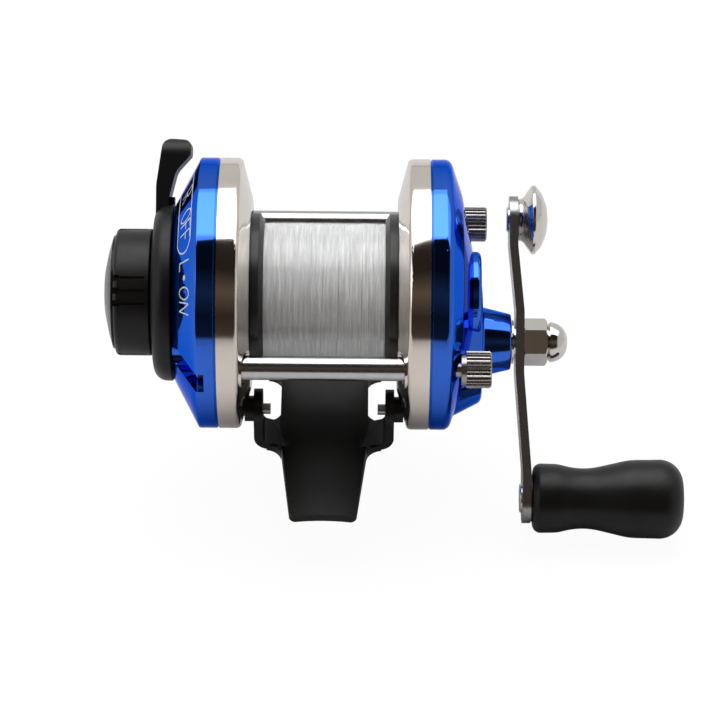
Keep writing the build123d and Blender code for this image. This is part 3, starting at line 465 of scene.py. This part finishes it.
def rounding():
    """Geometry nodes that weld a node's faces together and shade it smooth below a sharp angle."""
    tree = bpy.data.node_groups.get("Smooth Turned Faces")
    if tree:
        return tree
    tree = bpy.data.node_groups.new("Smooth Turned Faces", "GeometryNodeTree")
    tree.interface.new_socket("Geometry", in_out="INPUT", socket_type="NodeSocketGeometry")
    tree.interface.new_socket("Geometry", in_out="OUTPUT", socket_type="NodeSocketGeometry")
    start, end = node(tree, "NodeGroupInput"), node(tree, "NodeGroupOutput")
    weld = put(node(tree, "GeometryNodeMergeByDistance"), Distance=WELD_DISTANCE)
    angle = node(tree, "GeometryNodeInputMeshEdgeAngle")
    soft = node(tree, "FunctionNodeCompare", data_type="FLOAT", operation="LESS_THAN")
    soft.inputs["B"].default_value = SHARP_ANGLE
    faces = node(tree, "GeometryNodeSetShadeSmooth", domain="FACE")
    edges = node(tree, "GeometryNodeSetShadeSmooth", domain="EDGE")
    link(tree, start.outputs[0], weld.inputs["Geometry"])
    link(tree, weld.outputs[0], faces.inputs["Geometry"])
    link(tree, faces.outputs[0], edges.inputs["Geometry"])
    link(tree, angle.outputs["Unsigned Angle"], soft.inputs["A"])
    link(tree, soft.outputs["Result"], edges.inputs["Shade Smooth"])
    link(tree, edges.outputs[0], end.inputs[0])
    return tree


def dress(names, made):
    """Gives CAD nodes a material and smooth shading; their meshes stay as they are."""
    for name in names:
        piece = NODES[name]
        piece.data.materials.clear()
        piece.data.materials.append(made)
        smooth = piece.modifiers.new("Smooth turned faces", "NODES")
        smooth.node_group = rounding()


def mesh_object(name, vertices, faces, made, body):
    """A new mesh piece that rides on a body."""
    mesh = bpy.data.meshes.new(name)
    mesh.from_pydata(vertices, [], faces)
    mesh.validate()
    piece = bpy.data.objects.new(name, mesh)
    bpy.context.scene.collection.objects.link(piece)
    mesh.materials.append(made)
    mesh.shade_smooth()
    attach(piece, body)
    return piece


def on_ring(x, radius, angle):
    """A point about the spool axis; the angle starts at the camera's side and opens up the view."""
    out = TO_CAMERA * math.cos(angle) + UP_VIEW * math.sin(angle)
    return Vector((x, 0, AXIS_Z)) + out * radius


# ------------------------------------------------------------------------- operators
class REEL_OT_side_plates(bpy.types.Operator):
    """Plates the two dished side plates in bright nickel."""

    bl_idname = "reel.side_plates"
    bl_label = "Side plates"

    def execute(self, context):
        dress(["left_frame_plate", "right_frame_plate"], plated_nickel(context.scene))
        return {"FINISHED"}


class REEL_OT_covers(bpy.types.Operator):
    """Plates the two covers in bright blue."""

    bl_idname = "reel.covers"
    bl_label = "Covers"

    def execute(self, context):
        dress(["left_cover", "right_cover"], plated_blue(context.scene))
        return {"FINISHED"}


STROKES = {
    "R": [[(-0.4, -0.5), (-0.4, 0.5), (0.1, 0.5), (0.34, 0.42), (0.4, 0.24), (0.34, 0.07), (0.1, 0.0),
           (-0.4, 0.0)],
          [(0.02, 0.0), (0.42, -0.5)]],
    "F": [[(-0.35, -0.5), (-0.35, 0.5), (0.38, 0.5)], [(-0.35, 0.03), (0.28, 0.03)]],
    "L": [[(-0.35, 0.5), (-0.35, -0.5), (0.36, -0.5)]],
    "N": [[(-0.42, -0.5), (-0.42, 0.5), (0.42, -0.5), (0.42, 0.5)]],
}
LETTERS = (  # each letter, and its angle on the cone in degrees
    ("R", 56.0), ("O", 39.5), ("F", 33.0), ("F", 27.4), ("L", 12.0), ("O", -1.6), ("N", -8.8),
)
CONE_MIDDLE_X = COVER_LEFT_X + 2.4 * MM
CONE_MIDDLE_RADIUS = 21.5 * MM
CONE_SLANT = Vector((4.8, 9.0)).normalized()
INK_LIFT = 0.02 * MM
INK_WIDTH = 0.28 * MM
INK_STEP = 0.3 * MM  # longest straight piece of a stroke, so that it follows the cone
LETTER_UP = 0.5 * MM
DOT_ANGLE = 6.0
DOT_RADII = (0.38 * MM, 0.12 * MM)
FRAME_NEAR_ANGLE, FRAME_FAR_ANGLE = 26.0, 70.0  # the rounded frame about the R and the OFF
FRAME_HALF_HEIGHT = 2.75 * MM
FRAME_UP = 0.1 * MM
FRAME_END_STEPS = 20


def on_cone(around, up, lift=INK_LIFT):
    """A point on the left cover's cone; around is an arc length in the reading direction."""
    x = CONE_MIDDLE_X + CONE_SLANT.x * up - CONE_SLANT.y * lift
    radius = CONE_MIDDLE_RADIUS + CONE_SLANT.y * up + CONE_SLANT.x * lift
    return on_ring(x, radius, -around / CONE_MIDDLE_RADIUS)


def printed_stroke(path, vertices, faces, closed=False):
    """A ribbon of ink along a path of (around, up) points."""
    dense = []
    points = [Vector(point) for point in path]
    if closed:
        points.append(points[0])
    for start, end in zip(points, points[1:]):
        steps = max(1, int((end - start).length / INK_STEP))
        dense += [start.lerp(end, step / steps) for step in range(steps)]
    dense.append(points[-1])
    first = len(vertices)
    for number, point in enumerate(dense):
        before, after = dense[max(number - 1, 0)], dense[min(number + 1, len(dense) - 1)]
        if closed and number in (0, len(dense) - 1):
            before, after = dense[-2], dense[1]
        along = (after - before).normalized()
        across = Vector((-along.y, along.x)) * INK_WIDTH / 2
        vertices += [on_cone(*(point - across)), on_cone(*(point + across))]
    for number in range(len(dense) - 1):
        corner = first + 2 * number
        faces.append((corner, corner + 1, corner + 3, corner + 2))


def oval(centre, half_width, half_height, steps=28):
    """The points of an oval."""
    angles = [math.tau * step / steps for step in range(steps)]
    return [(centre[0] + half_width * math.cos(a), centre[1] + half_height * math.sin(a))
            for a in angles]


def reading_place(degrees):
    """Arc length in the reading direction of an angle above the side that faces the camera."""
    return -math.radians(degrees) * CONE_MIDDLE_RADIUS


def rounded_frame():
    """The outline round the R and the OFF: two half circles joined by straight lines."""
    near, far, half = reading_place(FRAME_NEAR_ANGLE), reading_place(FRAME_FAR_ANGLE), FRAME_HALF_HEIGHT
    turn = [math.pi * (step / FRAME_END_STEPS - 0.5) for step in range(FRAME_END_STEPS + 1)]
    path = [(near + half * math.cos(a), FRAME_UP + half * math.sin(a)) for a in turn]
    return path + [(far - half * math.cos(a), FRAME_UP - half * math.sin(a)) for a in turn]


class REEL_OT_marks(bpy.types.Operator):
    """Prints the lever's ON and OFF marks on the left cover."""

    bl_idname = "reel.marks"
    bl_label = "Printed marks"

    def execute(self, context):
        settings = context.scene.reel_marks
        tall = settings.letter_height
        wide = tall * settings.letter_stretch
        vertices, faces = [], []
        for letter, angle in LETTERS:
            middle = reading_place(angle)
            if letter == "O":
                ring = oval((middle, LETTER_UP), wide / 2, tall / 2)
                printed_stroke(ring, vertices, faces, closed=True)
                continue
            for stroke in STROKES[letter]:
                path = [(middle + x * wide, LETTER_UP + y * tall) for x, y in stroke]
                printed_stroke(path, vertices, faces)
        dot = (reading_place(DOT_ANGLE), LETTER_UP)
        for radius in DOT_RADII:
            printed_stroke(oval(dot, radius, radius), vertices, faces, closed=True)
        printed_stroke(rounded_frame(), vertices, faces, closed=True)
        marks = mesh_object("lever_marks", vertices, faces, printed_ink(context.scene), "root")
        return {"FINISHED"}


class REEL_OT_frame_hardware(bpy.types.Operator):
    """Finishes the pillars, thumbscrews and small screws."""

    bl_idname = "reel.frame_hardware"
    bl_label = "Pillars and screws"

    def execute(self, context):
        scene = context.scene
        dress(["rear_pillar", "front_pillar"], turned_steel(scene))
        dress(["rear_thumbscrew", "front_thumbscrew"], knurled_steel(scene))
        dress(["left_pillar_screws", "foot_screws", "bearing_plate_screws"], dull_steel(scene))
        return {"FINISHED"}


class REEL_OT_foot(bpy.types.Operator):
    """Finishes the moulded foot."""

    bl_idname = "reel.foot"
    bl_label = "Foot"

    def execute(self, context):
        dress(["reel_foot"], satin_black(context.scene))
        return {"FINISHED"}


class REEL_OT_spool(bpy.types.Operator):
    """Finishes the spool and winds it with line."""

    bl_idname = "reel.spool"
    bl_label = "Spool and line"

    def execute(self, context):
        scene = context.scene
        dress(["spool"], spool_black(scene))
        nylon = wound_nylon(scene)
        layer = wind_layer(scene.reel_line, nylon)
        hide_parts("fishing_line")
        for number in range(scene.reel_line.strays):
            stray = wind_stray(scene.reel_line, nylon, number)
        return {"FINISHED"}


STEPS_PER_TURN = 4
LAYER_SIDES = 160
LAYER_SEED = 11
STRAY_SEED = 40
STRAY_STEPS = 96
LINE_SHARE = 0.42  # radius of the line, as a share of the pitch


def wind_layer(settings, made):
    """The top layer of line: one ridge for each turn, on a surface that rises and falls a little."""
    width = LINE_HIGH.x - LINE_LOW.x
    pitch = width / settings.turns
    random.seed(LAYER_SEED)
    drift = [random.uniform(-1, 1) for _ in range(settings.turns + 1)]
    heights, places = [], []
    for step in range(settings.turns * STEPS_PER_TURN + 1):
        turn = step / STEPS_PER_TURN
        ridge = abs(math.sin(math.pi * turn)) ** 0.7
        slow = math.sin(turn * 0.23 + 0.6) * 0.5 + math.sin(turn * 0.071) * 0.5
        low = LINE_RADIUS - settings.unevenness - pitch * 0.5
        lift = settings.unevenness * (0.5 + 0.35 * slow + 0.15 * drift[int(turn)])
        heights.append(low + lift + ridge * pitch * LINE_SHARE)
        places.append(LINE_LOW.x + pitch * turn)
    vertices, faces = [], []
    for side in range(LAYER_SIDES):
        angle = math.tau * side / LAYER_SIDES
        for x, radius in zip(places, heights):
            wobble = settings.unevenness * 0.22 * math.sin(angle * 3 + x * 900)
            wobble *= math.sin(x * 2300)
            vertices.append(on_ring(x, radius + wobble, angle))
    count = len(places)
    for side in range(LAYER_SIDES):
        here, there = side * count, (side + 1) % LAYER_SIDES * count
        for step in range(count - 1):
            faces.append((here + step, there + step, there + step + 1, here + step + 1))
    for edge, order in ((0, 1), (count - 1, -1)):
        centre = len(vertices)
        vertices.append(Vector((places[edge], 0, AXIS_Z)))
        for side in range(LAYER_SIDES):
            pair = (side * count + edge, (side + 1) % LAYER_SIDES * count + edge)
            faces.append((pair[::-order][0], pair[::-order][1], centre))
    return mesh_object("wound_line", vertices, faces, made, "spool")


def wind_stray(settings, made, number):
    """One turn that leaves its groove and crosses its neighbours."""
    random.seed(STRAY_SEED + number)
    width = LINE_HIGH.x - LINE_LOW.x
    thickness = width / settings.turns
    start = LINE_LOW.x + width * random.uniform(0.1, 0.9)
    shift = random.uniform(-1, 1) * thickness * 5
    begin = random.uniform(0, math.tau)
    curve = bpy.data.curves.new(f"crossing_turn_{number}", "CURVE")
    curve.dimensions = "3D"
    curve.bevel_depth = thickness * LINE_SHARE
    curve.bevel_resolution = 2
    spline = curve.splines.new("POLY")
    spline.points.add(STRAY_STEPS - 1)
    spline.use_cyclic_u = True
    for step, point in enumerate(spline.points):
        share = step / STRAY_STEPS
        swing = math.sin(math.tau * share) * 0.5 + 0.5
        x = min(max(start + shift * swing, LINE_LOW.x + thickness), LINE_HIGH.x - thickness)
        spot = on_ring(x, LINE_RADIUS - thickness * 0.62, begin + math.tau * share)
        point.co = (*spot, 1)
    curve.materials.append(made)
    piece = bpy.data.objects.new(f"crossing_turn_{number}", curve)
    bpy.context.scene.collection.objects.link(piece)
    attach(piece, "spool")
    return piece


class REEL_OT_lever_and_knob(bpy.types.Operator):
    """Finishes the brake lever, its ribbed knob and the knob's cap."""

    bl_idname = "reel.lever_and_knob"
    bl_label = "Lever and brake knob"

    def execute(self, context):
        scene = context.scene
        dress(["brake_lever", "brake_knob"], satin_black(scene))
        dress(["brake_knob_cap"], gloss_black(scene))
        return {"FINISHED"}


class REEL_OT_crank(bpy.types.Operator):
    """Finishes the crank arm, nut, washers, counterweight and knob."""

    bl_idname = "reel.crank"
    bl_label = "Crank"

    def execute(self, context):
        scene = context.scene
        dress(["handle_arm"], arm_steel(scene))
        dress(["handle_nut", "counterweight", "crank_washer"], bright_chrome(scene))
        dress(["handle_knob", "knob_collar"], satin_black(scene))
        dress(["knob_pin", "counterweight_rivet"], turned_steel(scene))
        return {"FINISHED"}


class REEL_OT_works(bpy.types.Operator):
    """Finishes the gears, bearings and brake inside the covers."""

    bl_idname = "reel.works"
    bl_label = "Inner works"

    def execute(self, context):
        scene = context.scene
        plates = ["left_bearing_plate", "right_bearing_plate", "pressure_plate"]
        dress(plates, machined_aluminium(scene))
        dress(["main_gear", "pinion", "crank_bushing", "brake_stem"], gear_brass(scene))
        dress(["drive_shaft", "spool_shaft", "guide_pins"], turned_steel(scene))
        hard = ["ratchet_wheel", "pawl", "brake_cam", "pawl_spring", "brake_spring",
                "left_bearing", "right_bearing", "brake_disc"]
        dress(hard, dull_steel(scene))
        dress(["friction_ring"], brake_fibre(scene))
        return {"FINISHED"}


class REEL_OT_stage(bpy.types.Operator):
    """Lays the pale floor, lights it softly and sets the camera."""

    bl_idname = "reel.stage"
    bl_label = "Studio"

    def execute(self, context):
        scene = context.scene
        settings = scene.reel_stage
        build_floor(settings, studio_paper(scene))
        build_sky(scene)
        build_lights(scene)
        build_camera(scene, settings)
        return {"FINISHED"}


FLOOR_REACH = 3.0


def build_floor(settings, made):
    """A wide pale floor just under the crank knob."""
    level = min(corner[2] for corner in CAD_BOX) - settings.floor_drop
    mesh = bpy.data.meshes.new("floor")
    around = ((-1, -1), (1, -1), (1, 1), (-1, 1))
    corners = [(x * FLOOR_REACH, y * FLOOR_REACH, level) for x, y in around]
    mesh.from_pydata(corners, [], [(0, 1, 2, 3)])
    floor = bpy.data.objects.new("floor", mesh)
    bpy.context.scene.collection.objects.link(floor)
    mesh.materials.append(made)


# Brightness by height, from the horizon behind the camera, over the top, to the horizon ahead.
SKY_STOPS = (
    (0.0, 0.5), (0.02, 0.04), (0.12, 0.022), (0.23, 0.075), (0.34, 0.015), (0.49, 0.015),
    (0.51, 1.8), (0.745, 1.6), (0.76, 0.62), (1.0, 0.58),
)
DARK_ROOM = 0.1  # anything dimmer than this is the room, which is a little warm
ROOM_WARMTH = 1.3
SIDE_WALLS = (0.55, 0.55, 0.56, 1)
SIDE_WALL_START, SIDE_WALL_FULL = 0.66, 0.82


def build_sky(scene):
    """A white studio with a bright soft panel overhead and a dark room on the camera's side."""
    world = bpy.data.worlds.new("studio")
    scene.world = world
    world.use_nodes = True
    tree = world.node_tree
    background = tree.nodes["Background"]
    place = node(tree, "ShaderNodeTexCoord")
    apart = node(tree, "ShaderNodeSeparateXYZ")
    link(tree, place.outputs["Generated"], apart.inputs[0])
    ahead = node(tree, "ShaderNodeMath", operation="MULTIPLY")
    link(tree, apart.outputs["Y"], ahead.inputs[0])
    ahead.inputs[1].default_value = -1.0
    angle = node(tree, "ShaderNodeMath", operation="ARCTAN2")
    link(tree, apart.outputs["Z"], angle.inputs[0])
    link(tree, ahead.outputs[0], angle.inputs[1])
    share = node(tree, "ShaderNodeMath", operation="DIVIDE")
    link(tree, angle.outputs[0], share.inputs[0])
    share.inputs[1].default_value = math.pi
    bands = node(tree, "ShaderNodeValToRGB")
    ramp = bands.color_ramp
    while len(ramp.elements) < len(SKY_STOPS):
        ramp.elements.new(0.5)
    for element, (position, value) in zip(ramp.elements, SKY_STOPS):
        element.position = position
        warm = ROOM_WARMTH if value < DARK_ROOM else 1.0
        element.color = (value * warm, value, value / warm, 1)
    link(tree, share.outputs[0], bands.inputs["Fac"])
    side = node(tree, "ShaderNodeMath", operation="ABSOLUTE")
    link(tree, apart.outputs["X"], side.inputs[0])
    panel = node(tree, "ShaderNodeMapRange", interpolation_type="SMOOTHSTEP")
    put(panel, From_Min=SIDE_WALL_START, From_Max=SIDE_WALL_FULL)
    link(tree, side.outputs[0], panel.inputs["Value"])
    mixed = node(tree, "ShaderNodeMix", data_type="RGBA")
    link(tree, panel.outputs["Result"], mixed.inputs["Factor"])
    link(tree, bands.outputs["Color"], mixed.inputs["A"])
    mixed.inputs["B"].default_value = SIDE_WALLS
    link(tree, mixed.outputs["Result"], background.inputs["Color"])
    background.inputs["Strength"].default_value = 1.0


LAMPS = (  # name, place, power in watts and size, in metres
    ("key", (-0.1, 0.35, 0.9), 4.0, 0.9),
    ("fill", (-0.7, -0.3, 0.5), 0.8, 0.5),
)


def build_lights(scene):
    """One large soft lamp above and a weak one from the camera's left."""
    for name, spot, power, size in LAMPS:
        lamp = bpy.data.lights.new(name, "AREA")
        lamp.energy = power
        lamp.size = size
        holder = bpy.data.objects.new(name, lamp)
        scene.collection.objects.link(holder)
        holder.location = spot
        holder.rotation_mode = "QUATERNION"
        holder.rotation_quaternion = (-Vector(spot)).to_track_quat("-Z", "Y")


def build_camera(scene, settings):
    """A long lens from above the angler's side."""
    camera = bpy.data.cameras.new("camera")
    camera.lens = camera.sensor_width * settings.camera_distance / settings.frame_width
    camera.clip_start = 0.01
    holder = bpy.data.objects.new("camera", camera)
    scene.collection.objects.link(holder)
    aim = Vector((VIEW_SHIFT[0], 0, AXIS_Z)) + UP_VIEW * VIEW_SHIFT[1]
    holder.location = aim + TO_CAMERA * settings.camera_distance
    holder.rotation_mode = "QUATERNION"
    roll = Quaternion((0, 0, 1), CAMERA_ROLL)
    holder.rotation_quaternion = (-TO_CAMERA).to_track_quat("-Z", "Y") @ roll
    scene.camera = holder
    scene.view_settings.view_transform = "Standard"


OPERATORS = (
    REEL_OT_side_plates, REEL_OT_covers, REEL_OT_marks, REEL_OT_frame_hardware, REEL_OT_foot,
    REEL_OT_spool, REEL_OT_lever_and_knob, REEL_OT_crank, REEL_OT_works, REEL_OT_stage,
)


class REEL_PT_looks(bpy.types.Panel):
    """Lists the reel's operators in the 3D view's sidebar."""

    bl_idname = "REEL_PT_looks"
    bl_label = "Reel"
    bl_space_type = "VIEW_3D"
    bl_region_type = "UI"
    bl_category = "Reel"

    def draw(self, context):
        for operator in OPERATORS:
            self.layout.operator(operator.bl_idname)


SETTINGS = {
    "reel_finish": ReelFinish,
    "reel_line": ReelLine,
    "reel_marks": ReelMarks,
    "reel_stage": ReelStage,
}


def register():
    """Registers the settings, the operators and the panel."""
    for name, settings in SETTINGS.items():
        bpy.utils.register_class(settings)
        setattr(bpy.types.Scene, name, bpy.props.PointerProperty(type=settings))
    for cls in (*OPERATORS, REEL_PT_looks):
        bpy.utils.register_class(cls)


def unregister():
    """Takes back what register did."""
    for cls in (REEL_PT_looks, *reversed(OPERATORS)):
        bpy.utils.unregister_class(cls)
    for name, settings in SETTINGS.items():
        delattr(bpy.types.Scene, name)
        bpy.utils.unregister_class(settings)


def main():
    """Dresses the whole reel."""
    register()
    for operator in OPERATORS:
        category, name = operator.bl_idname.split(".")
        getattr(getattr(bpy.ops, category), name)()


if __name__ == "__main__":
    main()
